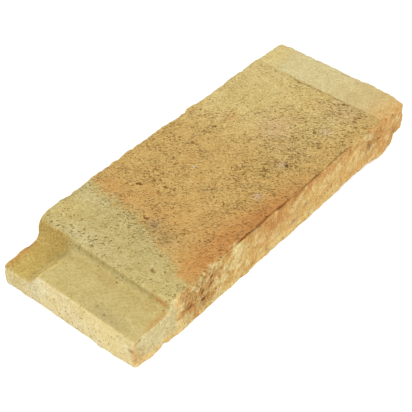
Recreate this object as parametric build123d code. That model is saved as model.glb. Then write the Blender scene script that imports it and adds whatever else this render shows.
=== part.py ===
from build123d import *
import os

# A long hand-moulded facing brick that laps its neighbours at both ends.
# Millimetres. The origin is at the middle of the footprint, on the ground.
# +X runs from the ledge end to the lip end, +Y towards the side with the
# drained corner, and +Z out of the face.

# Overall size of the fired unit
length = 528.0
width = 206.0
height = 64.0

# Lap ledge at the near end, which the next unit's lip covers
ledge_length = 57.0
pad_height = 48.0
riser_cove = 7.0
rim_radius = 4.0

# Drained corner: the ledge cut down to a sloping floor, where water runs off
drain_width = 57.0
drain_height_outside = 27.0
drain_height_inside = 32.5
drain_wall_spread = 13.0
drain_cove = 8.0
drain_rim_radius = 3.0

# Lip at the far end, cut back underneath as far as the shoulder
lip_reach = 20.0
lip_height = 19.5
lip_cove = 2.5
shoulder_upright = 1.0

# Heel: the rounded rib below the shoulder, and the hollow in the bed before it
heel_breadth = 30.0
heel_slope_run = 34.0
heel_blend_radius = 40.0
bed_rise = 6.0
bed_flat_length = 310.0

# Moulded edges
arris_radius = 4.0
end_arris_radius = 5.0

# Shallow line that the mould's end strip leaves across the face
strip_length = 55.0
strip_line_width = 1.6
strip_line_depth = 0.9
strip_line_inset = 14.0

# How far the cutting shapes run past the surfaces that they cut
cut_overrun = 12.0

x_front = -length / 2
x_back = length / 2
x_riser = x_front + ledge_length
x_shoulder = x_back - lip_reach
y_drain_side = width / 2
y_pad_edge = y_drain_side - drain_width


def side_profile():
    """The unit's outline seen from its long side, with every corner rounded."""
    x_heel = x_shoulder - heel_breadth
    shoulder_radius = lip_height - lip_cove - shoulder_upright
    corners = [
        (x_front, 0, arris_radius),
        (x_front + bed_flat_length, 0, heel_blend_radius),
        (x_heel - heel_slope_run, bed_rise, heel_blend_radius),
        (x_heel, 0, heel_blend_radius),
        (x_shoulder, 0, shoulder_radius),
        (x_shoulder, lip_height, lip_cove),
        (x_back, lip_height, end_arris_radius),
        (x_back, height, end_arris_radius),
        (x_riser, height, rim_radius),
        (x_riser, pad_height, 0),
        (x_front, pad_height, end_arris_radius),
    ]
    points = [(x, z) for x, z, radius in corners]
    radii = [radius for x, z, radius in corners]
    with BuildSketch(Plane.XZ) as sketch:
        with BuildLine():
            FilletPolyline(*points, radius=radii, close=True)
        make_face()
    return sketch.sketch


def moulded_body():
    """The side outline carried straight across the unit's width."""
    return extrude(side_profile(), width / 2, both=True)


def drain_cutter():
    """The space over the drained corner: a sloping floor and a drafted inner wall with a cove at its foot."""
    slope = (drain_height_inside - drain_height_outside) / ledge_length
    lean = drain_wall_spread / (pad_height - drain_height_outside)
    roof = height + cut_overrun
    x_outside = x_front - cut_overrun
    y_outside = y_drain_side + cut_overrun
    along = Polygon(
        (x_outside, drain_height_outside - slope * cut_overrun),
        (x_riser, drain_height_inside),
        (x_riser, roof),
        (x_outside, roof),
        align=None,
    )
    across = Polygon(
        (y_pad_edge - lean * (roof - pad_height), roof),
        (y_pad_edge + lean * pad_height, 0),
        (y_outside, 0),
        (y_outside, roof),
        align=None,
    )
    space = extrude(Plane.XZ * along, width, both=True) & extrude(Plane.YZ * across, length, both=True)
    floor = space.faces().sort_by(Axis.Z)[0]
    wall_foot = floor.edges().sort_by(Axis.Y)[0]
    return fillet(wall_foot, drain_cove)


def strip_line_cutter():
    """The shallow groove that marks the mould's end strip across the face."""
    run = width - 2 * strip_line_inset
    groove = Box(strip_line_width, run, 2 * strip_line_depth)
    return Pos(x_back - strip_length, 0, height) * groove


def ease_drain_rim(body):
    """Ease the edges where the drained corner meets the end face and the pad."""
    end_edges = body.edges().group_by(Axis.X)[0]
    drain_edges = end_edges.filter_by_position(Axis.Y, y_pad_edge, y_drain_side - arris_radius)
    return fillet(drain_edges, drain_rim_radius)


def cove_riser(body):
    """Blend the foot of the riser into the pad, the drained corner's wall and its floor."""
    upright_faces = body.faces().filter_by(Axis.X)
    riser = upright_faces.filter_by_position(Axis.X, (x_front + x_riser) / 2, 0)[0]
    edges = riser.edges()
    rim = edges.group_by(Axis.Z)[-1]
    ends = edges.group_by(Axis.Y)[0] + edges.group_by(Axis.Y)[-1]
    return fillet(edges - rim - ends, riser_cove)


def round_long_arrises(body):
    """Round every edge of the two long sides, as the mould's corners leave them."""
    for outermost in (0, -1):
        side_edges = body.edges().group_by(Axis.Y)[outermost]
        body = fillet(side_edges, arris_radius)
    return body


def facing_brick():
    """The whole unit, one fired piece."""
    body = moulded_body() - drain_cutter() - strip_line_cutter()
    return round_long_arrises(cove_riser(ease_drain_rim(body)))


os.makedirs("parts", exist_ok=True)
brick = facing_brick()
export_step(brick, "parts/facing_brick.step")
print("volume", brick.volume, "solids", len(brick.solids()))
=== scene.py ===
import math

import bpy
import numpy as np
from mathutils import Matrix, Vector


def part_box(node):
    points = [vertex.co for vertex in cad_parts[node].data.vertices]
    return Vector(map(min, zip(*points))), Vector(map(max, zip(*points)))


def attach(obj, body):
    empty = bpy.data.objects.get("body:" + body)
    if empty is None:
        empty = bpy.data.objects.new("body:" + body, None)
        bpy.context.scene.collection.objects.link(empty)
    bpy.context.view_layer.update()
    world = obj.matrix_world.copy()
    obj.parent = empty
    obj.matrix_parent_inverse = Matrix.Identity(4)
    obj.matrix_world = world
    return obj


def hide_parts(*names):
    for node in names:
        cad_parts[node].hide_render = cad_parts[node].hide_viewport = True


# A long hand-moulded facing brick, fired in straw, ochre and orange.
# Metres, in the frame of the construction model: +X from the ledge end to the
# lip end, +Y towards the side with the drained corner, +Z out of the face.

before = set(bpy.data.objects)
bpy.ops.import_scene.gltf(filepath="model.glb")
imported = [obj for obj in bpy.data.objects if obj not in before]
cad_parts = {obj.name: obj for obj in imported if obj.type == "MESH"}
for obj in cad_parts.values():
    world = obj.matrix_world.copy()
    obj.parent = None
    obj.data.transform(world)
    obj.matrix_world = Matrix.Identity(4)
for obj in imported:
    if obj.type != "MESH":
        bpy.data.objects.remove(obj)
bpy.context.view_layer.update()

MM = 0.001
low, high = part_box("facing_brick")
X_FRONT, X_BACK = low.x, high.x
Y_RIGHT, Y_LEFT = low.y, high.y
HEIGHT = high.z

# Lap ledge, drained corner, lip and heel
LEDGE_LENGTH = 57 * MM
PAD_HEIGHT = 48 * MM
DRAIN_WIDTH = 57 * MM
DRAIN_HEIGHT_OUTSIDE = 27 * MM
DRAIN_HEIGHT_INSIDE = 32.5 * MM
DRAIN_WALL_SPREAD = 15 * MM
LIP_REACH = 20 * MM
LIP_HEIGHT = 19.5 * MM
SHOULDER_RADIUS = 16 * MM
HEEL_BREADTH = 30 * MM
HEEL_SLOPE_RUN = 34 * MM
BED_RISE = 6 * MM
BED_FLAT_LENGTH = 310 * MM
STRIP_LENGTH = 55 * MM

X_RISER = X_FRONT + LEDGE_LENGTH
X_SHOULDER = X_BACK - LIP_REACH
X_HEEL = X_SHOULDER - HEEL_BREADTH
X_STRIP = X_BACK - STRIP_LENGTH
Y_PAD_EDGE = Y_LEFT - DRAIN_WIDTH

# The lattice that is wrapped onto the brick
CELL = 1.95 * MM
RISER_PATH = 24 * MM
SHOULDER_STATIONS = 12
PATH_SAMPLES = 4000

# Where the lattice is finer: the middle of the stretch, half its length, and how many times finer
FINER_ALONG = [(X_STRIP, 3 * MM, 2.5)]
FINER_ACROSS = [(Y_PAD_EDGE + DRAIN_WALL_SPREAD / 2, 6 * MM, 2.2), (Y_RIGHT + 3 * MM, 4 * MM, 2.0)]

# Noise: the first seed, the step of the seed from layer to layer, and the side of the table of random values
FIRST_SEED = 7
LAYER_SEED_STEP = 17
TABLE_SIDE = 64

# Wear: how far a pass moves a point towards its neighbours, and the passes over everything, over the coves
# and over the worn places
SOFTENING = 0.5
ARRIS_PASSES = 8
COVE_PASSES = 16
WORN_PASSES = 45

# A point starts to belong to a side, and belongs to it fully, where its normal's part along that side is this
SIDE_START = 0.3
SIDE_FULL = 0.85

# Folds in the clay run this way across the face
CREASE_ANGLE = math.radians(-51)

# Dents are drawn out along the folds, narrowed across them, and their outline wanders
DENT_LENGTH = 1.2
DENT_BREADTH = 0.62
DENT_WANDER = 1.8 * MM
DENT_WANDER_SIZE = 4.5 * MM

# The larger pits of the face: x and y of the middle and the radius, in millimetres, and the depth as a share
# of the deepest
LARGE_PITS = [
    (-87, 53, 3.4, 1.0), (-71, 25, 2.6, 1.0), (-83, 23, 2.2, 0.8), (-31, 44, 2.8, 0.9),
    (-53, 53, 2.4, 0.8), (-22, 53, 2.2, 0.8), (15, 54, 2.4, 0.7), (58, 54, 3.0, 0.8),
    (-115, 54, 2.6, 0.7), (-125, 6, 2.8, 1.0), (-129, -9, 4.0, 0.6), (-160, -49, 2.4, 1.0),
    (-182, -57, 2.4, 0.9), (-182, 13, 2.0, 0.7), (-81, -26, 2.2, 0.7), (25, -52, 2.6, 0.8),
    (33, -46, 2.4, 0.7), (57, -45, 2.4, 0.7), (58, -64, 3.4, 0.9), (113, -71, 2.6, 1.0),
    (119, -67, 2.4, 0.8), (132, -51, 2.6, 0.7), (184, -76, 2.4, 1.0), (190, -74, 2.4, 1.0),
    (196, -76, 2.4, 0.9), (177, -84, 2.2, 0.8), (112, 31, 2.2, 0.6), (117, 26, 2.0, 0.6),
    (-139, -41, 2.2, 0.6), (-107, -72, 2.2, 0.7), (205, 28, 2.4, 0.7), (206, -46, 2.6, 0.8),
    (205, 66, 2.2, 0.6), (-255, -50, 2.4, 0.7), (-252, -36, 2.0, 0.6),
]

# Ovals on the sides: the two places of the middle and the two spreads, in millimetres
NOTCH = (-215, 2, 4, 7)
NEAR_END_PIT = (-97, 30, 4, 3)
SCORCHED_PLACE = (-18, 46, 42, 26)
SMOOTHER_PLACE = (-20, 46, 42, 26)
HEEL_GLOW = (205, 12, 30, 14)


def lattice_noise(points, size, seed):
    """Smooth noise from -1 to 1: random values on a cubic lattice of the given size, joined by the
    polynomial 6t^5 - 15t^4 + 10t^3 between its corners."""
    table = np.random.default_rng(FIRST_SEED + seed).uniform(-1, 1, (TABLE_SIDE, TABLE_SIDE, TABLE_SIDE))
    cell = points / size
    corner = np.floor(cell).astype(int)
    part = cell - corner
    ease = part ** 3 * (part * (part * 6 - 15) + 10)
    total = np.zeros(len(points))
    for dx in (0, 1):
        for dy in (0, 1):
            for dz in (0, 1):
                index = (corner + (dx, dy, dz)) % TABLE_SIDE
                weight = (
                    np.where(dx, ease[:, 0], 1 - ease[:, 0])
                    * np.where(dy, ease[:, 1], 1 - ease[:, 1])
                    * np.where(dz, ease[:, 2], 1 - ease[:, 2])
                )
                total += weight * table[index[:, 0], index[:, 1], index[:, 2]]
    return total


def layered_noise(points, size, layers, seed):
    """Sum of lattice noise, each layer half the size and half the height of the one before."""
    total = np.zeros(len(points))
    for layer in range(layers):
        total += lattice_noise(points, size / 2 ** layer, seed + LAYER_SEED_STEP * layer) / 2 ** layer
    return total


def ramp(value, start, end):
    """0 before start, 1 after end, and 3t^2 - 2t^3 between."""
    part = np.clip((value - start) / (end - start), 0, 1)
    return part * part * (3 - 2 * part)


def fall(value, start, end):
    """1 before start, 0 after end: one less the ramp."""
    return 1 - ramp(value, start, end)


def between(value, start, full, fading, end):
    """0 before start and after end, 1 from full to fading: a ramp times a fall."""
    return ramp(value, start, full) * fall(value, fading, end)


def bump_at(value, centre, spread):
    """A bell, exp(-(d/spread)^2), 1 at the centre."""
    return np.exp(-(((value - centre) / spread) ** 2))


def oval(a, b, centre_a, centre_b, spread_a, spread_b):
    """An oval cloud, exp(-(da/sa)^2 - (db/sb)^2), with places and sizes in millimetres."""
    return bump_at(a, centre_a * MM, spread_a * MM) * bump_at(b, centre_b * MM, spread_b * MM)


def ovals(a, b, *clouds):
    """The sum of oval clouds, each given as its strength and then as an oval's places and sizes."""
    return sum(strength * oval(a, b, *cloud) for strength, *cloud in clouds)


def spaced(start, end, cell, finer):
    """Points from start to end about one cell apart, closer by the given factor inside each finer stretch."""
    fine = np.linspace(start, end, PATH_SAMPLES)
    density = np.ones(PATH_SAMPLES)
    for middle, half, factor in finer:
        density += (factor - 1) * (np.abs(fine - middle) < half)
    path = np.concatenate([[0], np.cumsum((density[1:] + density[:-1]) / 2 * np.diff(fine))])
    count = int(round(path[-1] / cell))
    return np.interp(np.linspace(0, path[-1], count + 1), path, fine)


def top_path():
    """Stations along the top: x, and how far up the riser each lies (0 on the ledge, 1 on the face)."""
    ledge = spaced(X_FRONT, X_RISER, CELL, [])
    face = spaced(X_RISER, X_BACK, CELL, FINER_ALONG)
    steps = int(round(RISER_PATH / CELL))
    x = np.concatenate([ledge, np.full(steps - 1, X_RISER), face])
    climb = np.concatenate([np.zeros(len(ledge)), np.arange(1, steps) / steps, np.ones(len(face))])
    return x, climb


def bottom_path(count):
    """Stations along the underside: a flat bed, a slow rise, the heel, a round shoulder and the lip."""
    turn = np.linspace(0, math.pi / 2, SHOULDER_STATIONS)
    round_x = X_SHOULDER - SHOULDER_RADIUS + SHOULDER_RADIUS * np.sin(turn)
    round_z = SHOULDER_RADIUS - SHOULDER_RADIUS * np.cos(turn)
    x = np.concatenate([
        [X_FRONT, X_FRONT + BED_FLAT_LENGTH, X_HEEL - HEEL_SLOPE_RUN, X_HEEL],
        round_x,
        [X_SHOULDER, X_BACK],
    ])
    z = np.concatenate([[0, 0, BED_RISE, 0], round_z, [LIP_HEIGHT, LIP_HEIGHT]])
    path = np.concatenate([[0], np.cumsum(np.hypot(np.diff(x), np.diff(z)))])
    at = np.linspace(0, path[-1], count)
    return np.interp(at, path, x), np.interp(at, path, z)


def ledge_height(x, y):
    """Height of the ledge: the pad, or in the drained corner a sloping floor behind a drafted wall."""
    along = np.clip((x - X_FRONT) / LEDGE_LENGTH, 0, 1)
    floor = DRAIN_HEIGHT_OUTSIDE + (DRAIN_HEIGHT_INSIDE - DRAIN_HEIGHT_OUTSIDE) * along
    lean = DRAIN_WALL_SPREAD / (PAD_HEIGHT - DRAIN_HEIGHT_OUTSIDE)
    wall = PAD_HEIGHT - (y - Y_PAD_EDGE) / lean
    return np.clip(wall, floor, PAD_HEIGHT)


def brick_lattice():
    """The skin of a box lattice (i, j, k): each point lies on a straight line from the underside to the top,
    x, z = bottom(i) + (top(i, j) - bottom(i)) * k / K, with y = y(j)."""
    top_x, climb = top_path()
    bottom_x, bottom_z = bottom_path(len(top_x))
    y_line = spaced(Y_RIGHT, Y_LEFT, CELL, FINER_ACROSS)
    levels = int(round(HEIGHT / CELL))
    shape = (len(top_x), len(y_line), levels + 1)
    skin = np.ones(shape, bool)
    skin[1:-1, 1:-1, 1:-1] = False
    i, j, k = np.nonzero(skin)
    share = k / levels
    x_top, y = top_x[i], y_line[j]
    z_top = ledge_height(x_top, y) * (1 - climb[i]) + HEIGHT * climb[i]
    x = bottom_x[i] + (x_top - bottom_x[i]) * share
    z = bottom_z[i] + (z_top - bottom_z[i]) * share
    number = np.full(shape, -1)
    number[i, j, k] = np.arange(len(i))
    return np.column_stack([x, y, z]), number


def quads_of(grid, turned):
    """Quads of a grid of vertex numbers, turned round where the face looks the other way."""
    a, b, c, d = grid[:-1, :-1], grid[1:, :-1], grid[1:, 1:], grid[:-1, 1:]
    corners = [a, d, c, b] if turned else [a, b, c, d]
    return np.stack(corners, axis=-1).reshape(-1, 4)


def lattice_quads(number):
    """The six sides of the lattice, each looking outwards."""
    return np.vstack([
        quads_of(number[:, :, -1], False),
        quads_of(number[:, :, 0], True),
        quads_of(number[:, 0, :], False),
        quads_of(number[:, -1, :], True),
        quads_of(number[0, :, :], True),
        quads_of(number[-1, :, :], False),
    ])


def edges_of(quads):
    """Each edge once, as a pair of vertex numbers."""
    edges = np.vstack([quads[:, [0, 1]], quads[:, [1, 2]], quads[:, [2, 3]], quads[:, [3, 0]]])
    return np.unique(np.sort(edges, axis=1), axis=0)


def soften(points, edges, passes, strength):
    """Each pass moves a point towards the mean of its neighbours by the strength at that point."""
    count = len(points)
    a, b = edges[:, 0], edges[:, 1]
    degree = np.bincount(a, minlength=count) + np.bincount(b, minlength=count)
    for _ in range(passes):
        mean = np.empty_like(points)
        for axis in range(3):
            value = points[:, axis]
            total = np.bincount(a, value[b], count) + np.bincount(b, value[a], count)
            mean[:, axis] = total / degree
        points = points + strength[:, None] * (mean - points)
    return points


def outward(points, quads):
    """Unit normal at each point: the sum of the cross products of its quads' diagonals."""
    cross = np.cross(
        points[quads[:, 2]] - points[quads[:, 0]],
        points[quads[:, 3]] - points[quads[:, 1]],
    )
    total = np.zeros_like(points)
    for corner in range(4):
        for axis in range(3):
            total[:, axis] += np.bincount(quads[:, corner], cross[:, axis], len(points))
    return total / np.linalg.norm(total, axis=1)[:, None]


def make_mesh(name, points, quads):
    """A smooth-shaded mesh object of the given points and quads."""
    mesh = bpy.data.meshes.new(name)
    mesh.vertices.add(len(points))
    mesh.vertices.foreach_set("co", points.astype(np.float32).ravel())
    mesh.loops.add(quads.size)
    mesh.loops.foreach_set("vertex_index", quads.astype(np.int32).ravel())
    mesh.polygons.add(len(quads))
    mesh.polygons.foreach_set("loop_start", np.arange(0, quads.size, 4, dtype=np.int32))
    mesh.update(calc_edges=True)
    mesh.validate()
    mesh.polygons.foreach_set("use_smooth", np.ones(len(quads), bool))
    piece = bpy.data.objects.new(name, mesh)
    bpy.context.scene.collection.objects.link(piece)
    return piece


def facing_shares(normals):
    """How far each point belongs to the top, the right, left, near and far sides and the underside: its
    normal's part along each way, eased and made to add up to 1."""
    ways = np.stack([
        normals[:, 2], -normals[:, 1], normals[:, 1], -normals[:, 0], normals[:, 0], -normals[:, 2],
    ])
    never_zero = 1e-6
    shares = ramp(ways, SIDE_START, SIDE_FULL) + never_zero
    return shares / shares.sum(axis=0)


def worn_shape(points, edges):
    """The lattice after moulding and handling: all arrises are eased, then the coves, and most of all the
    worn places: the riser's left corner, both right corners, the drained wall and the torn arris."""
    x, y, z = points.T
    above_floor = ramp(z, 20 * MM, 26 * MM)
    foot = bump_at(x, X_RISER - 2 * MM, 9 * MM) * fall(z, 52 * MM, 58 * MM) * above_floor
    wall = fall(x, X_RISER, X_RISER + 2 * MM) * bump_at(y, Y_PAD_EDGE + 5 * MM, 12 * MM) * above_floor
    wall = wall * (0.15 + 0.85 * ramp(x, X_FRONT + 8 * MM, X_FRONT + 40 * MM))
    torn_arris = bump_at(x, -158 * MM, 36 * MM) * bump_at(y, Y_RIGHT, 10 * MM) * ramp(z, 44 * MM, 54 * MM)
    corner = bump_at(x, X_RISER, 11 * MM) * ramp(y, Y_LEFT - 26 * MM, Y_LEFT - 6 * MM)
    corner = corner * ramp(z, 38 * MM, 48 * MM)
    worn_end = ramp(x, 190 * MM, 225 * MM) * bump_at(y, Y_RIGHT, 16 * MM) * ramp(z, 40 * MM, 50 * MM)
    tip = bump_at(x, X_BACK, 12 * MM) * bump_at(y, Y_LEFT, 12 * MM)
    near_tip = bump_at(x, X_FRONT, 15 * MM) * bump_at(y, Y_RIGHT, 15 * MM)
    near_tip = near_tip * (1 - 0.6 * ramp(z, 10 * MM, 40 * MM))
    coved = np.clip(foot + wall + corner + worn_end + tip, 0, 1)
    worn = np.clip(corner + worn_end + wall + 0.5 * foot + 0.8 * torn_arris + near_tip + 0.3 * tip, 0, 1)
    points = soften(points, edges, ARRIS_PASSES, np.full(len(points), SOFTENING))
    points = soften(points, edges, COVE_PASSES, SOFTENING * coved)
    return soften(points, edges, WORN_PASSES, SOFTENING * worn)


def hollows(x, y, places):
    """Depth, from 0 to 1, of dents in the face, drawn out along the folds and uneven in outline: the deepest
    of their bells, exp(-(a^2 + b^2)^2), at each point."""
    flat = np.column_stack([x, y, np.zeros(len(x))])
    x = x + DENT_WANDER * lattice_noise(flat, DENT_WANDER_SIZE, seed=45)
    y = y + DENT_WANDER * lattice_noise(flat, DENT_WANDER_SIZE, seed=46)
    fold_x, fold_y = math.cos(CREASE_ANGLE), math.sin(CREASE_ANGLE)
    depth = np.zeros(len(x))
    for centre_x, centre_y, radius, share in places:
        away_x, away_y = x - centre_x * MM, y - centre_y * MM
        along = (away_x * fold_x + away_y * fold_y) / (DENT_LENGTH * radius * MM)
        across = (away_y * fold_x - away_x * fold_y) / (DENT_BREADTH * radius * MM)
        depth = np.maximum(depth, share * np.exp(-((along ** 2 + across ** 2) ** 2)))
    return depth


def arris_split(points):
    """The thin wandering split along the face's right arris, from 0 to 1: open along the middle of the brick,
    and wider in some places than in others."""
    x, y, z = points.T
    line = np.column_stack([x, np.zeros(len(x)), np.zeros(len(x))])
    middle = Y_RIGHT + 2.4 * MM + 1.3 * MM * layered_noise(line, 26 * MM, layers=2, seed=41)
    width = 1.4 * MM + 0.6 * MM * lattice_noise(line, 9 * MM, seed=42)
    along = between(x, -130 * MM, -80 * MM, 120 * MM, 150 * MM)
    depth = np.clip(0.85 + 0.6 * layered_noise(line, 19 * MM, layers=2, seed=43), 0.25, 1)
    return along * depth * bump_at(y, middle, width) * ramp(z, 57 * MM, 61 * MM)


def strip_line(points):
    """The shallow line of the mould's end strip, from 0 to 1: slightly wandering and fainter in places."""
    x, y = points[:, 0], points[:, 1]
    line = np.column_stack([np.zeros(len(x)), y, np.zeros(len(x))])
    middle = X_STRIP - 1.5 * MM + 0.9 * MM * layered_noise(line, 30 * MM, layers=2, seed=8)
    depth = np.clip(0.35 + 0.9 * layered_noise(line, 16 * MM, layers=3, seed=9), 0, 1)
    reach = between(y, Y_RIGHT + 12 * MM, Y_RIGHT + 26 * MM, Y_LEFT - 32 * MM, Y_LEFT - 18 * MM)
    return depth * reach * bump_at(x, middle, 1.2 * MM)


def torn_patch(points):
    """The torn, crumbly places of the right side: a large one behind the ledge, a small one by the heel."""
    x, z = points[:, 0], points[:, 2]
    edge = 9 * MM * lattice_noise(points, 14 * MM, seed=40)
    large = between(x + edge, -192 * MM, -178 * MM, -140 * MM, -112 * MM) * ramp(z, 8 * MM, 14 * MM)
    small = bump_at(x + edge / 2, 184 * MM, 17 * MM) * bump_at(z, 44 * MM, 17 * MM)
    return np.maximum(large, small)


def side_flakes(points):
    """The flaky tear of the sides, about -1 to 1: noise in three sizes, drawn out by 1.4 along a line that
    leans 30 degrees from upright."""
    x, y, z = points.T
    drawn = np.column_stack([0.87 * x - 0.5 * z, y, (0.5 * x + 0.87 * z) / 1.4])
    wide = lattice_noise(drawn, 14 * MM, seed=50)
    middle = lattice_noise(drawn, 6.5 * MM, seed=51)
    fine = lattice_noise(drawn, 3.6 * MM, seed=52)
    return 0.5 * wide + 0.6 * middle + 0.6 * fine


def flaky_share(points):
    """How torn the right side is along its length: most behind the ledge and by the heel."""
    x = points[:, 0]
    behind = between(x, -196 * MM, -180 * MM, -75 * MM, -30 * MM)
    heel = ramp(x, 155 * MM, 172 * MM)
    return 0.58 + 0.42 * behind + 0.3 * heel


def ragged_arrises(points, near):
    """How far the arrises wander in and out, in metres: most along the face's right arris."""
    x, y, z = points.T
    right_edge = bump_at(y, Y_RIGHT, 5 * MM) * bump_at(z, HEIGHT, 8 * MM)
    low_edge = bump_at(y, Y_RIGHT, 5 * MM) * bump_at(z, 0, 7 * MM) + near * bump_at(z, 0, 7 * MM)
    left_edge = bump_at(y, Y_LEFT, 6 * MM)
    back_edge = bump_at(x, X_BACK, 5 * MM) * bump_at(z, HEIGHT, 8 * MM)
    coarse = 1.7 * MM * right_edge + 1.1 * MM * (left_edge + back_edge + 0.6 * low_edge)
    fine = 0.9 * MM * (right_edge + left_edge + back_edge + 0.5 * low_edge)
    coarse_noise = layered_noise(points, 17 * MM, layers=3, seed=4)
    return coarse * coarse_noise + fine * lattice_noise(points, 7 * MM, seed=48)


def clay_relief(points, shares):
    """How far the hand-moulded surface stands proud of the mould's shape, in metres: slow waves, lumps,
    ragged arrises, the torn places, the split, the end strip's line and step, the larger pits, and where a
    whole side swells or is cut back."""
    x, y, z = points.T
    top, right, left, near, far, under = shares
    waves = 0.5 * MM * lattice_noise(points, 85 * MM, seed=1)
    waves = waves + 0.4 * MM * lattice_noise(points, 32 * MM, seed=2)
    lumps = 0.28 * MM * layered_noise(points, 10 * MM, layers=2, seed=3)
    ragged = ragged_arrises(points, near)
    torn = torn_patch(points)
    crumbs = torn * right * (1.5 * MM * layered_noise(points, 9 * MM, layers=3, seed=5) - 0.5 * MM)
    flaky = right * (flaky_share(points) + 0.6 * torn) + 0.6 * (left + far) + 0.25 * (near + under)
    rough_side = 0.9 * MM * flaky * side_flakes(points)
    split = -1.6 * MM * arris_split(points)
    line = -1.2 * MM * top * strip_line(points)
    step = -0.45 * MM * top * ramp(x, X_STRIP - 1 * MM, X_STRIP + 1 * MM)
    pits = -1.5 * MM * top * hollows(x, y, LARGE_PITS)
    bulge = 1.6 * MM * left * bump_at(x, -50 * MM, 120 * MM)
    bulge = bulge + 1.5 * MM * right * bump_at(x, -180 * MM, 45 * MM)
    heel = 2.0 * MM * right * bump_at(x, X_HEEL, 26 * MM)
    notch = -2.6 * MM * (right + under) * oval(x, z, *NOTCH) * bump_at(y, Y_RIGHT, 9 * MM)
    trim = -1.6 * MM * left * ramp(x, X_STRIP - 3 * MM, X_STRIP + 3 * MM)
    clay = waves + lumps + ragged + crumbs + rough_side + split
    return clay + line + step + pits + bulge + heel + trim + notch


def rgb(red, green, blue):
    """A colour given in display steps of 255, as linear light."""
    value = np.array([red, green, blue]) / 255
    return np.where(value > 0.04045, ((value + 0.055) / 1.055) ** 2.4, value / 12.92)


# Colours that several places share
SAND = rgb(196, 177, 115)
STRAW = rgb(216, 202, 150)
CREAM = rgb(220, 206, 160)
LEMON = rgb(215, 191, 121)
WHEAT = rgb(234, 202, 128)
OCHRE = rgb(214, 182, 115)
HONEY = rgb(206, 168, 97)
ORANGE = rgb(203, 144, 77)
BURNT_ORANGE = rgb(194, 130, 58)
APRICOT = rgb(222, 165, 88)
RUST = rgb(182, 116, 58)
OLIVE = rgb(196, 170, 104)
ASH = rgb(158, 140, 106)
ROSE = rgb(204, 172, 140)
CRUMB = rgb(240, 220, 156)

# Colours of the face and its two end strips
FACE_STRAW = rgb(217, 194, 128)
LIME_WHITE = rgb(240, 232, 205)
BLOOM = rgb(216, 192, 160)
END_STRIP_PALE = rgb(213, 196, 141)
END_STRIP_TAN = rgb(206, 182, 124)

# Colours of the ledge, the drained corner and the riser
PAD_YELLOW = rgb(199, 180, 117)
DRAIN_YELLOW = rgb(198, 171, 94)
# Painted light: a pale cream for the drained wall where it leans away from the lamp
DRAIN_WALL_PAINTED_LIGHT = rgb(232, 204, 124)
# Painted shade: the riser's sand and olive are darker than the clay's own colour, for the shade that falls on
# the riser
SHADED_RISER_SAND = rgb(183, 168, 111)
SHADED_RISER_OLIVE = rgb(190, 163, 89)
RIM_ORANGE = rgb(192, 124, 44)

# Colours of the right side
LEDGE_STRAW = rgb(213, 198, 145)
SCORCH = rgb(198, 136, 66)
HEEL_TAN = rgb(221, 169, 102)
HEEL_ORANGE = rgb(228, 168, 92)
TORN_RUST = rgb(186, 120, 56)
SPOT_BROWN = rgb(168, 122, 88)
# Painted shade: the dark inside of holes
HOLE_SHADE_BROWN = rgb(128, 70, 38)

# Patches on the top: a colour and its oval clouds, each with its strength, the x and y of its middle and its
# spreads along x and y, in millimetres
FACE_PATCHES = [
    (ROSE, (0.35, 105, -5, 22, 22), (0.3, 195, -55, 30, 20)),
    (OLIVE, (0.3, 105, -45, 45, 18), (0.35, 140, 65, 22, 40)),
    (ORANGE, (1.1, -110, -92, 75, 26)),
    (ORANGE, (0.8, -10, -96, 70, 16)),
    (RUST, (0.45, -45, -92, 48, 13)),
    (ORANGE, (0.45, -115, 75, 12, 45), (0.5, 88, 50, 9, 8)),
    (LIME_WHITE, (0.9, -19, 21.6, 2.2, 1.6)),
    (BLOOM, (0.6, 56, -57, 6, 5), (0.6, -10, -70, 7, 5), (0.6, 142, -60, 7, 6)),
]
NEAR_STRIP_PATCHES = [
    (STRAW, (0.5, -196, 40, 12, 45), (0.4, -140, 85, 14, 30)),
    (LEMON, (0.55, -175, 85, 20, 22), (0.2, -200, -75, 30, 25)),
]
BORDER_PATCHES = [(ASH, (0.5, -127, -8, 9, 9), (0.25, -138, -32, 16, 20))]
MOST_OF_A_PATCH = 0.9

# The slanted border of the near strip, in millimetres: its x at each y
BORDER_Y = [-103, -60, 0, 40, 103]
BORDER_X = [-173, -161, -136, -127, -121]


def plain(colour, count):
    """One colour for the given number of points."""
    return np.tile(colour, (count, 1))


def blend(base, colour, share):
    """Move the colours towards another by the share at each point."""
    return base + share[:, None] * (colour - base)


def patched(base, x, y, patches):
    """Blend in one patch after another, none of them wholly covering what is below it."""
    for colour, *clouds in patches:
        base = blend(base, colour, np.clip(ovals(x, y, *clouds), 0, MOST_OF_A_PATCH))
    return base


def face_ground_colour(x, y, drift, wide):
    """The face between its strips, before the patches: honey near the ledge, paler towards the lip."""
    colour = blend(plain(OCHRE, len(x)), HONEY, 0.82 * fall(x + 3 * drift, 20 * MM, 130 * MM))
    colour = blend(colour, ORANGE, np.clip(0.3 * oval(x, y, -85, 0, 50, 80) * (1 + wide), 0, 1))
    yellow = 0.75 * ramp(x + y / 2, 60 * MM, 170 * MM) * (0.8 + 0.6 * wide)
    colour = blend(colour, LEMON, np.clip(yellow, 0, 1))
    straw = 0.8 * ramp(x + 2 * drift, 20 * MM, 170 * MM) * ramp(y + drift, -30 * MM, 60 * MM)
    colour = blend(colour, FACE_STRAW, straw)
    return blend(colour, HONEY, 0.6 * fall(y + drift, -95 * MM, -50 * MM))


def end_strip_colour(x, y, drift):
    """The smoother strip past the mould's line: pale on the left, tan on the right."""
    colour = blend(plain(END_STRIP_PALE, len(x)), END_STRIP_TAN, 0.85 * fall(y + drift, -60 * MM, 10 * MM))
    colour = blend(colour, LEMON, 0.6 * ramp(y + drift, 65 * MM, 85 * MM))
    return blend(colour, APRICOT, 0.5 * oval(x, y, 225, -98, 60, 20))


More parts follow.
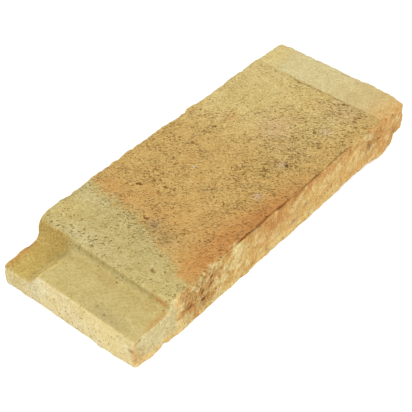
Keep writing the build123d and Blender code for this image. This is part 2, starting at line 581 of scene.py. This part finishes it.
def ledge_colour(points, drift, wide):
    """The ledge: a sandy pad with an orange right edge, and the yellow drained corner, both darkened as
    painted shade towards the riser's foot.
    """
    x, y, z = points.T
    colour = blend(plain(SAND, len(x)), PAD_YELLOW, np.clip(0.5 + 0.6 * wide, 0, 1))
    colour = blend(colour, ASH, 0.3 * oval(x, y, -258, -55, 10, 30))
    drain = ramp(y + 0.4 * drift, 58 * MM, 72 * MM) * ramp(PAD_HEIGHT - z, 5 * MM, 14 * MM)
    colour = blend(colour, DRAIN_YELLOW, drain)
    right_edge = 0.6 * bump_at(y, Y_RIGHT + 3 * MM, 3.5 * MM) * ramp(x + drift, -264 * MM, -232 * MM)
    colour = blend(colour, ORANGE, right_edge)
    # Painted shade: the drained corner darker at its inner end by the riser, and the pad darker towards the
    # riser's foot
    colour = blend(colour, OLIVE * 0.75, 0.35 * drain * oval(x, y, -214, 62, 16, 16))
    colour = blend(colour, OLIVE * 0.8, 0.42 * ramp(x, X_RISER - 20 * MM, X_RISER))
    return blend(colour, ORANGE, 0.7 * drain * oval(x, y, -235, 103, 30, 9))


def face_colour(points):
    """Kiln colours of the top: orange and ochre, a pale sandy strip behind a slanted border, a smoother strip
    past the mould's line at the lip end, and the ledge."""
    x, y = points[:, 0], points[:, 1]
    drift = 7 * MM * layered_noise(points, 22 * MM, layers=3, seed=20)
    wide = layered_noise(points, 60 * MM, layers=2, seed=21)
    colour = patched(face_ground_colour(x, y, drift, wide), x, y, FACE_PATCHES)
    border = np.interp(y / MM, BORDER_Y, BORDER_X) * MM + 0.6 * drift
    fade = 5 * MM + 6 * MM * ramp(y, -20 * MM, 40 * MM)
    speckle = 5 * MM * layered_noise(points, 7 * MM, layers=2, seed=28)
    near_strip = patched(plain(SAND, len(x)), x, y, NEAR_STRIP_PATCHES)
    colour = blend(colour, near_strip, fall(x + speckle, border - fade, border + fade))
    colour = patched(colour, x, y, BORDER_PATCHES)
    colour = blend(colour, end_strip_colour(x, y, drift), ramp(x, X_STRIP - 2 * MM, X_STRIP + 3 * MM))
    return blend(colour, ledge_colour(points, drift, wide), fall(x, X_RISER - 2 * MM, X_RISER + 1 * MM))


def right_side_ground_colour(points, drift):
    """Kiln colours of the right side before the tears: cream at the ledge to orange at the lip, and lighter
    along the bottom as painted light from the floor.
    """
    x, z = points[:, 0], points[:, 2]
    cloudy = layered_noise(points, 14 * MM, layers=3, seed=23)
    colour = blend(plain(WHEAT, len(x)), OCHRE, ramp(x + 2 * drift, -60 * MM, 40 * MM) * 0.35)
    colour = blend(colour, APRICOT, ramp(cloudy, 0.1, 0.6) * 0.7 * flaky_share(points))
    colour = blend(colour, APRICOT, 0.25 * ramp(x + drift, -20 * MM, 20 * MM))
    colour = blend(colour, LEDGE_STRAW, fall(x + drift, -200 * MM, -185 * MM))
    colour = blend(colour, LEMON, 0.5 * bump_at(x + drift, -95 * MM, 32 * MM))
    scorched = ovals(x, z, (0.95, *SCORCHED_PLACE), (0.4, -256, 14, 12, 12))
    colour = blend(colour, SCORCH, np.clip(scorched, 0, 1))
    band = between(x, -80 * MM, -20 * MM, 130 * MM, 165 * MM) * ramp(z + 0.5 * drift, 44 * MM, 58 * MM)
    colour = blend(colour, ORANGE, 0.7 * band + 0.55 * oval(x, z, 212, 10, 26, 14))
    colour = blend(colour, HEEL_TAN, 0.8 * ramp(x + drift, 175 * MM, 205 * MM))
    # Painted light: the bottom of the side is lightened towards wheat, for light thrown up from the white
    # floor
    colour = blend(colour, WHEAT, 0.8 * fall(z + 0.4 * drift, 8 * MM, 18 * MM))
    colour = blend(colour, HEEL_ORANGE, 0.9 * oval(x, z, *HEEL_GLOW))
    return blend(colour, BURNT_ORANGE, 0.6 * oval(x, z + 0.4 * drift, -263, 26, 5, 14))


def right_side_colour(points):
    """The right side: its ground, rusty hollows and pale crumbs where the clay is torn, single spots, and two
    holes painted dark as painted shade.
    """
    x, z = points[:, 0], points[:, 2]
    drift = 8 * MM * layered_noise(points, 18 * MM, layers=3, seed=22)
    colour = right_side_ground_colour(points, drift)
    flakes = side_flakes(points)
    flaky = ramp(x + drift, -205 * MM, -185 * MM) * flaky_share(points)
    flaky = flaky * (1 - 0.75 * oval(x, z, *SMOOTHER_PLACE)) * (1 - 0.5 * oval(x, z, *HEEL_GLOW))
    colour = blend(colour, APRICOT, 0.7 * flaky * fall(flakes, -0.55, 0.0))
    colour = blend(colour, TORN_RUST, 0.42 * torn_patch(points) + 0.45 * flaky * fall(flakes, -0.9, -0.4))
    crumbly = bump_at(x + drift, -98 * MM, 34 * MM) * ramp(z, 14 * MM, 26 * MM)
    colour = blend(colour, CRUMB, (0.15 + 0.7 * flaky) * ramp(flakes + 0.35 * crumbly, 0.1, 0.5))
    colour = blend(colour, CRUMB, 0.6 * oval(x + 0.4 * drift, z + 0.4 * drift, 24, 48, 10, 6))
    colour = blend(colour, SPOT_BROWN, 0.65 * oval(x, z + 0.3 * drift, 22, 21, 8, 5))
    # Painted shade: two holes painted dark brown for the shade inside them
    hole_shade = ovals(x, z + 0.2 * drift, (1, 45, 32, 3.5, 3.5), (0.9, 183, 36, 4, 5))
    return blend(colour, HOLE_SHADE_BROWN, 0.8 * hole_shade)


def near_end_colour(points, wide, drift):
    """The near end in cream and lemon, and the riser in sand and olive darkened as painted shade, with a
    painted shadow under the rim and an orange patch at the rim's right end.
    """
    x, y, z = points.T
    front = blend(plain(CREAM, len(x)), LEMON, np.clip(0.3 + 0.5 * wide, 0, 0.8))
    front = blend(front, BURNT_ORANGE, 0.6 * oval(y, z + 0.4 * drift, -102, 26, 5, 14))
    riser = blend(plain(SHADED_RISER_SAND, len(x)), SHADED_RISER_OLIVE, ramp(y, 42 * MM, 58 * MM))
    # Painted shadow under the riser's rim: a dark olive band, strongest towards the right end
    painted_shade_under_rim = (0.15 + 0.25 * fall(y, -40 * MM, 40 * MM)) * bump_at(z, 58.5 * MM, 2.5 * MM)
    riser = blend(riser, OLIVE * 0.6, painted_shade_under_rim)
    riser = blend(riser, RIM_ORANGE, 0.5 * oval(y, z, -91, 58, 15, 5))
    return blend(front, riser, ramp(x, X_FRONT + 20 * MM, X_FRONT + 40 * MM))


def hidden_side_colour(points, wide):
    """The left side and the far end: ochre and wheat with apricot and pale flakes."""
    flakes = side_flakes(points)
    colour = blend(plain(OCHRE, len(points)), WHEAT, ramp(wide, -0.6, 0.3))
    colour = blend(colour, APRICOT, 0.7 * ramp(wide, 0.2, 0.9) + 0.3 * fall(flakes, -0.7, -0.1))
    return blend(colour, CRUMB, 0.55 * ramp(flakes, 0.1, 0.7))


def kiln_colour(points, normals, shares):
    """Each side's colours, mixed by how far a point belongs to that side. The right side's colours spill over
    the face's torn arris; the drained corner's wall takes the face's, with painted light where it leans from
    the lamp."""
    x, y = points[:, 0], points[:, 1]
    top, right, left, near, far, under = shares
    wide = layered_noise(points, 45 * MM, layers=3, seed=25)
    drift = 8 * MM * layered_noise(points, 12 * MM, layers=3, seed=54)
    side = right_side_colour(points)
    hidden = hidden_side_colour(points, wide)
    bed = blend(plain(SAND, len(x)), OCHRE, ramp(wide, -0.5, 0.6))
    ragged = ramp(layered_noise(points, 8 * MM, layers=3, seed=47), 0.0, 0.3)
    spill = ragged * fall(y, Y_RIGHT + 2 * MM, Y_RIGHT + 7 * MM)
    spill = spill * (1 - between(x, -75 * MM, -45 * MM, 125 * MM, 150 * MM))
    face = blend(face_colour(points), side, 0.8 * (spill * ramp(x, X_RISER, X_RISER + 10 * MM)))
    inside = fall(x, X_RISER - 2 * MM, X_RISER + 2 * MM) * fall(y, Y_LEFT - 16 * MM, Y_LEFT - 8 * MM)
    # Painted light: the drained wall is lightened where it leans towards +Y, away from the lamp, to cancel
    # its shade
    leaning_painted_light = ramp(normals[:, 1], 0.08, 0.5) * fall(x, X_RISER - 22 * MM, X_RISER - 6 * MM)
    face = blend(face, DRAIN_WALL_PAINTED_LIGHT, 0.75 * inside * leaning_painted_light)
    hidden = blend(hidden, face, inside)
    far_end = blend(hidden, ORANGE, np.full(len(x), 0.3))
    front = near_end_colour(points, wide, drift)
    parts = [(top, face), (right, side), (left, hidden), (near, front), (far, far_end), (under, bed)]
    return sum(share[:, None] * colour for share, colour in parts)


def painted_hollow_shade(points, moulded, shares):
    """Painted shade in the hollows, from 0 to 1: the larger pits, the split, the strip's line, a pit in the
    near end and the gaps between flakes. The pits keep to their places on the moulded shape."""
    x, y, z = moulded.T
    top, right, near = shares[0], shares[1], shares[3]
    ragged = 2.5 * MM * layered_noise(points, 5 * MM, layers=2, seed=53)
    gaps = (0.4 * flaky_share(points) + 0.7 * torn_patch(points)) * fall(side_flakes(points), -1.0, -0.5)
    dark = (
        top * hollows(x, y, LARGE_PITS)
        + 0.95 * arris_split(points)
        + 0.6 * top * strip_line(points)
        + 0.8 * near * oval(y + ragged, z - ragged, *NEAR_END_PIT)
        + right * gaps
    )
    return np.clip(dark, 0, 1)


def crease_share(points, top):
    """Where the skin is creased and pitted: on the face most in a broad band right of the middle and a row
    left of it, less on the end strip and the ledge, and a little on every other side."""
    x, y = points[:, 0], points[:, 1]
    band = oval(x, y, 80, -48, 140, 34)
    row = oval(x, y, 0, 54, 110, 10)
    middle = 0.28 * ramp(x, -160 * MM, -120 * MM) + 0.2 * oval(x, y, -140, -25, 26, 40)
    calm = 1 - 0.55 * ramp(x, 20 * MM, 170 * MM) * ramp(y, -30 * MM, 60 * MM)
    end_strip = 1 - 0.92 * ramp(x, X_STRIP - 2 * MM, X_STRIP + 2 * MM)
    ledge = 0.25 + 0.75 * ramp(x, X_RISER - 4 * MM, X_RISER)
    face = np.clip(0.42 + middle + 0.34 * band + 0.2 * row, 0, 1) * calm * end_strip * ledge
    return face * top + 0.3 * (1 - top)


def grit_share(points, shares):
    """How gritty the skin is: most on the torn places, least on the bed and the near end."""
    x, y = points[:, 0], points[:, 1]
    top, right, left, near, far, under = shares
    pad = fall(x, X_RISER - 3 * MM, X_RISER + 3 * MM)
    middle = between(x, -140 * MM, -110 * MM, 170 * MM, 200 * MM)
    near_strip = fall(x, -165 * MM, -120 * MM)
    end_strip = ramp(x, X_STRIP - 2 * MM, X_STRIP + 2 * MM)
    drain = pad * ramp(y, 50 * MM, 62 * MM)
    face = 0.92 - 0.15 * near_strip - 0.15 * pad - 0.12 * middle + 0.3 * drain - 0.25 * end_strip
    side = 0.65 + 0.35 * flaky_share(points) + 0.5 * torn_patch(points)
    ends = 0.7 * (left + far) + 0.5 * (near + under) + 0.5 * near * ramp(y, 40 * MM, 52 * MM)
    return top * face + right * side + ends


def fleck_share(points, shares):
    """How strongly upright flecks show: most on the torn right side, less by the ledge, none on the face."""
    right, left, near, far, under = shares[1:]
    torn = 0.45 + 0.6 * flaky_share(points) + 0.5 * torn_patch(points)
    past_ledge = 0.45 + 0.55 * ramp(points[:, 0], -200 * MM, -185 * MM)
    return right * torn * past_ledge + 0.7 * (left + far) + 0.25 * (near + under)


def add_values(mesh, name, values):
    """Store one number for each vertex, for the material to read."""
    mesh.attributes.new(name, "FLOAT", "POINT").data.foreach_set("value", values.astype(np.float32))


def facing_brick():
    """The brick's whole skin: the lattice, worn at its arrises and coves, then given the clay's relief, with
    no point below the ground."""
    moulded, number = brick_lattice()
    quads = lattice_quads(number)
    points = worn_shape(moulded, edges_of(quads))
    normals = outward(points, quads)
    shares = facing_shares(normals)
    finished = points + normals * clay_relief(points, shares)[:, None]
    finished[:, 2] = np.maximum(finished[:, 2], 0)
    piece = make_mesh("brick_skin", finished, quads)
    colour = np.column_stack([kiln_colour(points, normals, shares), np.ones(len(points))])
    layer = piece.data.color_attributes.new("kiln_colour", "FLOAT_COLOR", "POINT")
    layer.data.foreach_set("color", colour.astype(np.float32).ravel())
    add_values(piece.data, "hollow_shade", painted_hollow_shade(points, moulded, shares))
    add_values(piece.data, "crease_share", crease_share(points, shares[0]))
    add_values(piece.data, "grit_share", grit_share(points, shares))
    add_values(piece.data, "fleck_share", fleck_share(points, shares))
    return piece


# The clay's fine patterns, in cells per metre
GRIT_SCALE = 340.0
STREAK_SCALE = 600.0
MOTTLE_SCALE = 75.0
FLECK_SCALE = 300.0
CREASE_SCALE = 290.0
FOLD_SCALE = 180.0
PIT_SCALE = 330.0
LIME_SCALE = 230.0

# How far the patterns are drawn out: creases and streaks along the folds, flecks upright
CREASE_STRETCH = 1.8
STREAK_STRETCH = 2.6
FLECK_STRETCH = 1.8

# Creases and folds in cells of their own noise, and where a crease's painted highlight lies beside it, on its
# wall that faces the lamp
CREASE_THICKNESS = 0.07
FOLD_THICKNESS = 0.045
CREASE_DEPTH = 0.85
CREASE_HIGHLIGHT_SHIFT = (-0.8 * MM, -0.65 * MM, 0)
CREASE_HIGHLIGHT_STRENGTH = 0.42

# How far red, green and blue follow the tone
CHANNEL_SWING = (0.7, 1.05, 1.7)

# What the marks and hollows turn the clay's colour to as painted shade, and what lime turns it to, in linear
# light
CREASE_SHADE_TINT = (0.56, 0.37, 0.06, 1)
# Painted shade: what the hollows darken the clay to
HOLLOW_SHADE_TINT = (0.38, 0.22, 0.09, 1)
LIME_TINT = (0.8, 0.78, 0.7, 1)

# Sockets of the colour mix node, which have no names of their own
MIX_SHARE, MIX_BASE, MIX_COLOUR, MIX_RESULT = 0, 6, 7, 2


def mask_group(name, **inputs):
    """A shader node group that turns coordinates and some numbers, given with their defaults, into a mask."""
    tree = bpy.data.node_groups.new(name, "ShaderNodeTree")
    tree.interface.new_socket("Vector", in_out="INPUT", socket_type="NodeSocketVector")
    for label, default in inputs.items():
        socket = tree.interface.new_socket(label, in_out="INPUT", socket_type="NodeSocketFloat")
        socket.default_value = default
    tree.interface.new_socket("Mask", in_out="OUTPUT", socket_type="NodeSocketFloat")
    return tree, tree.nodes.new("NodeGroupInput").outputs, tree.nodes.new("NodeGroupOutput").inputs["Mask"]


def feed(tree, socket, value):
    """Link a socket to a value's source, or set it as a plain number."""
    if isinstance(value, bpy.types.NodeSocket):
        tree.links.new(value, socket)
    else:
        socket.default_value = value


def math_node(tree, operation, *values):
    """The result of one operation on sockets or plain numbers."""
    node = tree.nodes.new("ShaderNodeMath")
    node.operation = operation
    for socket, value in zip(node.inputs, values):
        feed(tree, socket, value)
    return node.outputs[0]


def plus(tree, first, second):
    """The sum of two sockets or numbers."""
    return math_node(tree, "ADD", first, second)


def times(tree, first, *others):
    """The product of sockets or numbers, taken one after another."""
    for other in others:
        first = math_node(tree, "MULTIPLY", first, other)
    return first


def eased(tree, value, low_end, high_end, to_low=0.0, to_high=1.0):
    """The value's place between two ends, eased, and laid between two others."""
    node = tree.nodes.new("ShaderNodeMapRange")
    node.interpolation_type = "SMOOTHSTEP"
    for socket, number in zip(node.inputs[:5], (value, low_end, high_end, to_low, to_high)):
        feed(tree, socket, number)
    return node.outputs[0]


def noise(tree, vector, scale, detail=2.0, rough=0.5, twist=0.0):
    """Smooth noise from 0 to 1, with its middle at a half."""
    node = tree.nodes.new("ShaderNodeTexNoise")
    feed(tree, node.inputs["Vector"], vector)
    feed(tree, node.inputs["Scale"], scale)
    node.inputs["Detail"].default_value = detail
    node.inputs["Roughness"].default_value = rough
    node.inputs["Distortion"].default_value = twist
    return node.outputs["Fac"]


def crease_group():
    """Short dark folds: thin lines where a twisted noise crosses its middle value, kept only where a finer
    noise and a slower one together pass a limit, so that they break up and come in clusters."""
    tree, given, mask = mask_group("clay_creases", Scale=1.0, Thickness=0.02, Amount=0.5)
    field = noise(tree, given["Vector"], given["Scale"], detail=3.0, rough=0.6, twist=0.7)
    away = math_node(tree, "ABSOLUTE", math_node(tree, "SUBTRACT", field, 0.5))
    line = eased(tree, away, 0.0, given["Thickness"], 1.0, 0.0)
    breaks = noise(tree, given["Vector"], times(tree, given["Scale"], 2.0))
    clusters = noise(tree, given["Vector"], times(tree, given["Scale"], 0.22))
    both = plus(tree, times(tree, breaks, 0.7), times(tree, clusters, 0.3))
    limit = math_node(tree, "SUBTRACT", 0.643, times(tree, given["Amount"], 0.12))
    kept = eased(tree, both, limit, plus(tree, limit, 0.03))
    present = math_node(tree, "MINIMUM", times(tree, given["Amount"], 3.0), 1.0)
    tree.links.new(times(tree, line, kept, present), mask)
    return tree


def pit_group():
    """Round pits: the parts of a Voronoi pattern nearer to their point than a limit, in some of its cells."""
    tree, given, mask = mask_group("clay_pits", Scale=1.0, Size=0.3, Amount=0.5)
    cells = tree.nodes.new("ShaderNodeTexVoronoi")
    feed(tree, cells.inputs["Vector"], given["Vector"])
    feed(tree, cells.inputs["Scale"], given["Scale"])
    flat_part = times(tree, given["Size"], 0.4)
    spot = eased(tree, cells.outputs["Distance"], flat_part, given["Size"], 1.0, 0.0)
    pick = tree.nodes.new("ShaderNodeSeparateColor")
    tree.links.new(cells.outputs["Color"], pick.inputs[0])
    chosen = math_node(tree, "LESS_THAN", pick.outputs[0], given["Amount"])
    tree.links.new(times(tree, spot, chosen), mask)
    return tree


def place_group(tree, group, vector, **values):
    """The mask of a node group at the given coordinates, with its named inputs set."""
    node = tree.nodes.new("ShaderNodeGroup")
    node.node_tree = group
    feed(tree, node.inputs["Vector"], vector)
    for label, value in values.items():
        feed(tree, node.inputs[label], value)
    return node.outputs["Mask"]


def tinted(tree, base, colour, share, blend_type="MIX"):
    """The base colour mixed with, or multiplied by, another colour by the share."""
    node = tree.nodes.new("ShaderNodeMix")
    node.data_type = "RGBA"
    node.blend_type = blend_type
    feed(tree, node.inputs[MIX_SHARE], share)
    feed(tree, node.inputs[MIX_BASE], base)
    feed(tree, node.inputs[MIX_COLOUR], colour)
    return node.outputs[MIX_RESULT]


def read_attribute(tree, name, output="Fac"):
    """What the skin stores at each vertex under the name."""
    node = tree.nodes.new("ShaderNodeAttribute")
    node.attribute_name = name
    return node.outputs[output]


def stretched(tree, vector, angle=0.0, length=1.0, height=1.0):
    """Coordinates drawn out along a direction in the face, by the length, and upright, by the height."""
    node = tree.nodes.new("ShaderNodeMapping")
    node.vector_type = "TEXTURE"
    feed(tree, node.inputs["Vector"], vector)
    node.inputs["Rotation"].default_value = (0, 0, angle)
    node.inputs["Scale"].default_value = (length, 1.0, height)
    return node.outputs["Vector"]


def crease_marks(tree, place, rough):
    """Dark marks, the strongest of creases, folds and pits at each point, sunk in the bump and painted as
    shade;
    painted highlights on the creases' walls that face the lamp, the same creases a little way beside them;
    and specks of lime."""
    creases, pits = crease_group(), pit_group()
    fine = {"Scale": CREASE_SCALE, "Thickness": CREASE_THICKNESS, "Amount": rough}
    long = {"Scale": FOLD_SCALE, "Thickness": FOLD_THICKNESS, "Amount": rough}
    along = stretched(tree, place, CREASE_ANGLE, CREASE_STRETCH)
    fine_marks = times(tree, place_group(tree, creases, along, **fine), CREASE_DEPTH)
    long_marks = place_group(tree, creases, along, **long)
    round_marks = place_group(tree, pits, place, Scale=PIT_SCALE, Size=0.4, Amount=times(tree, rough, 0.07))
    beside = tree.nodes.new("ShaderNodeVectorMath")
    beside.operation = "ADD"
    tree.links.new(place, beside.inputs[0])
    beside.inputs[1].default_value = CREASE_HIGHLIGHT_SHIFT
    shifted = stretched(tree, beside.outputs["Vector"], CREASE_ANGLE, CREASE_STRETCH)
    crease_highlights = place_group(tree, creases, shifted, **fine)
    lime = place_group(tree, pits, place, Scale=LIME_SCALE, Size=0.24, Amount=0.012)
    mark_depth_and_shade = math_node(tree, "MAXIMUM", math_node(tree, "MAXIMUM", fine_marks, long_marks), round_marks)
    return mark_depth_and_shade, crease_highlights, lime


def fired_clay():
    """Unglazed clay: the kiln's colours, a sandy grain, short creases, pits and a few specks of lime, with
    painted shade in the creases, pits and low grains and painted highlights beside the creases.
    """
    material = bpy.data.materials.new("fired_clay")
    material.use_nodes = True
    tree = material.node_tree
    shader = tree.nodes["Principled BSDF"]
    place = tree.nodes.new("ShaderNodeTexCoord").outputs["Object"]
    colour = read_attribute(tree, "kiln_colour", "Color")
    hollow_shade = read_attribute(tree, "hollow_shade")
    rough = read_attribute(tree, "crease_share")
    gritty = read_attribute(tree, "grit_share")
    flecked = read_attribute(tree, "fleck_share")
    drawn = stretched(tree, place, CREASE_ANGLE, STREAK_STRETCH)
    upright = stretched(tree, place, height=FLECK_STRETCH)
    grit = noise(tree, place, GRIT_SCALE, detail=4.0, rough=0.75)
    streaks = noise(tree, drawn, STREAK_SCALE, detail=2.0, rough=0.6)
    mottle = noise(tree, place, MOTTLE_SCALE, detail=4.0, rough=0.6)
    flecks = noise(tree, upright, FLECK_SCALE, detail=4.0, rough=0.7)
    mark_depth_and_shade, crease_highlights, lime = crease_marks(tree, place, rough)

    # Colour: the tone swings round 1 with each pattern, and each channel follows it in its own measure. The
    # same patterns raise the bump, so the tone is partly the grain's own colour and partly painted shade:
    # darker in the low grains and streaks, lighter on the raised ones
    tone = 1.0
    swings = ((grit, 1.7, gritty), (streaks, 1.1, rough), (mottle, 0.45, 1.0), (flecks, 2.8, flecked))
    for pattern, swing, share in swings:
        tone = plus(tree, tone, times(tree, math_node(tree, "SUBTRACT", pattern, 0.5), swing, share))
    shade = tree.nodes.new("ShaderNodeCombineColor")
    for socket, swing in zip(shade.inputs, CHANNEL_SWING):
        tree.links.new(math_node(tree, "MULTIPLY_ADD", tone, swing, 1 - swing), socket)
    colour = tinted(tree, colour, shade.outputs[0], 1.0, "MULTIPLY")
    warm = times(tree, eased(tree, flecks, 0.5, 0.62), times(tree, flecked, 0.45))
    pale = times(tree, eased(tree, flecks, 0.34, 0.44, 1.0, 0.0), times(tree, flecked, 0.75))
    colour = tinted(tree, colour, (*APRICOT, 1), warm)
    colour = tinted(tree, colour, (*CRUMB, 1), pale)
    # Painted highlight: pale lines beside the creases, on their walls that face the lamp
    colour = tinted(tree, colour, (*CRUMB, 1), times(tree, crease_highlights, CREASE_HIGHLIGHT_STRENGTH))
    # Painted shade in the creases, folds and round pits, which the bump also sinks
    colour = tinted(tree, colour, CREASE_SHADE_TINT, mark_depth_and_shade, "MULTIPLY")
    # Painted shade in the pits, the split, the strip's line, the near end's pit and the gaps between flakes
    colour = tinted(tree, colour, HOLLOW_SHADE_TINT, hollow_shade, "MULTIPLY")
    colour = tinted(tree, colour, LIME_TINT, times(tree, lime, 0.6))
    tree.links.new(colour, shader.inputs["Base Color"])
    tree.links.new(eased(tree, mottle, 0.3, 0.7, 0.86, 0.96), shader.inputs["Roughness"])
    shader.inputs["Specular IOR Level"].default_value = 0.25

    # Bump: heights in millimetres, marks down and grains up
    height = times(tree, mark_depth_and_shade, -1.8)
    for pattern, share, rise in ((streaks, rough, 1.8), (grit, gritty, 3.0), (flecks, flecked, 3.0)):
        height = plus(tree, height, times(tree, pattern, share, rise))
    height = plus(tree, height, times(tree, mottle, 0.8))
    bump = tree.nodes.new("ShaderNodeBump")
    bump.inputs["Strength"].default_value = 1.0
    bump.inputs["Distance"].default_value = 1 * MM
    tree.links.new(height, bump.inputs["Height"])
    tree.links.new(bump.outputs["Normal"], shader.inputs["Normal"])
    return material


# Camera, fitted to the photograph's outline
CAMERA_AZIMUTH = math.radians(-50.96)
CAMERA_ELEVATION = math.radians(43.06)
CAMERA_ROLL = math.radians(1.34)
CAMERA_LENS_PIXELS = 1118.7
FRAME_PIXELS = 412
SENSOR_WIDTH = 36
CAMERA_DISTANCE = 1.4155
CAMERA_OFFSET = (0.01358, 0.00128)

# White surround, lamp and paper
WHITE = (1, 1, 1, 1)
WORLD_LIGHT = 0.8
WORLD_TO_CAMERA = 1.0
LAMP_PLACE = (-2.6, -2.2, 2.9)
LAMP_SIZE = 3.0
LAMP_POWER = 138
PAPER_HALF_SIDE = 4.0
PAPER_LEVEL = -0.2 * MM
PAPER_GREY = (0.8, 0.8, 0.8, 1)
PAPER_ROUGHNESS = 0.9
PAPER_LIFT = 0.4


def place_camera():
    """A camera at the distance from the origin, turned by the roll, then slid sideways by the offset."""
    azimuth, elevation = CAMERA_AZIMUTH, CAMERA_ELEVATION
    back = Vector((
        math.sin(azimuth) * math.cos(elevation),
        -math.cos(azimuth) * math.cos(elevation),
        math.sin(elevation),
    ))
    level = Vector((math.cos(azimuth), math.sin(azimuth), 0))
    upright = back.cross(level)
    right = math.cos(CAMERA_ROLL) * level + math.sin(CAMERA_ROLL) * upright
    up = math.cos(CAMERA_ROLL) * upright - math.sin(CAMERA_ROLL) * level
    data = bpy.data.cameras.new("camera")
    data.sensor_width = SENSOR_WIDTH
    data.lens = CAMERA_LENS_PIXELS * data.sensor_width / FRAME_PIXELS
    camera = bpy.data.objects.new("camera", data)
    place = back * CAMERA_DISTANCE - right * CAMERA_OFFSET[0] - up * CAMERA_OFFSET[1]
    turn = Matrix((right, up, back)).transposed().to_4x4()
    camera.matrix_world = Matrix.Translation(place) @ turn
    bpy.context.scene.collection.objects.link(camera)
    bpy.context.scene.camera = camera


def key_lamp():
    """A broad square lamp in front and above that looks at the brick."""
    data = bpy.data.lights.new("key_lamp", "AREA")
    data.size = LAMP_SIZE
    data.energy = LAMP_POWER
    lamp = bpy.data.objects.new("key_lamp", data)
    lamp.location = LAMP_PLACE
    lamp.rotation_euler = (-Vector(LAMP_PLACE)).to_track_quat("-Z", "Y").to_euler()
    bpy.context.scene.collection.objects.link(lamp)


def white_paper():
    """Pale and matte, lifted to full white for camera rays alone, so that the brick's shadow still shows."""
    material = bpy.data.materials.new("white_paper")
    material.use_nodes = True
    nodes, links = material.node_tree.nodes, material.node_tree.links
    shader = nodes["Principled BSDF"]
    shader.inputs["Base Color"].default_value = PAPER_GREY
    shader.inputs["Roughness"].default_value = PAPER_ROUGHNESS
    shader.inputs["Specular IOR Level"].default_value = 0.0
    rays = nodes.new("ShaderNodeLightPath")
    lift = nodes.new("ShaderNodeMath")
    lift.operation = "MULTIPLY"
    lift.inputs[1].default_value = PAPER_LIFT
    links.new(rays.outputs["Is Camera Ray"], lift.inputs[0])
    shader.inputs["Emission Color"].default_value = WHITE
    links.new(lift.outputs[0], shader.inputs["Emission Strength"])
    return material


def plain_floor():
    """A wide sheet of white paper just under the brick."""
    mesh = bpy.data.meshes.new("floor")
    half = PAPER_HALF_SIDE
    corners = [(x, y, PAPER_LEVEL) for x, y in ((-half, -half), (half, -half), (half, half), (-half, half))]
    mesh.from_pydata(corners, [], [(0, 1, 2, 3)])
    floor = bpy.data.objects.new("floor", mesh)
    bpy.context.scene.collection.objects.link(floor)
    mesh.materials.append(white_paper())


def soft_studio():
    """An even white surround, brighter to the camera than as light, and the lamp."""
    world = bpy.data.worlds.new("studio")
    world.use_nodes = True
    nodes, links = world.node_tree.nodes, world.node_tree.links
    background = nodes["Background"]
    background.inputs["Color"].default_value = WHITE
    rays = nodes.new("ShaderNodeLightPath")
    level = nodes.new("ShaderNodeMapRange")
    level.inputs["To Min"].default_value = WORLD_LIGHT
    level.inputs["To Max"].default_value = WORLD_TO_CAMERA
    links.new(rays.outputs["Is Camera Ray"], level.inputs["Value"])
    links.new(level.outputs["Result"], background.inputs["Strength"])
    bpy.context.scene.world = world
    key_lamp()
    bpy.context.scene.view_settings.view_transform = "Standard"


place_camera()
brick = facing_brick()
brick.data.materials.append(fired_clay())
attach(brick, "root")
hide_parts("facing_brick")
plain_floor()
soft_studio()
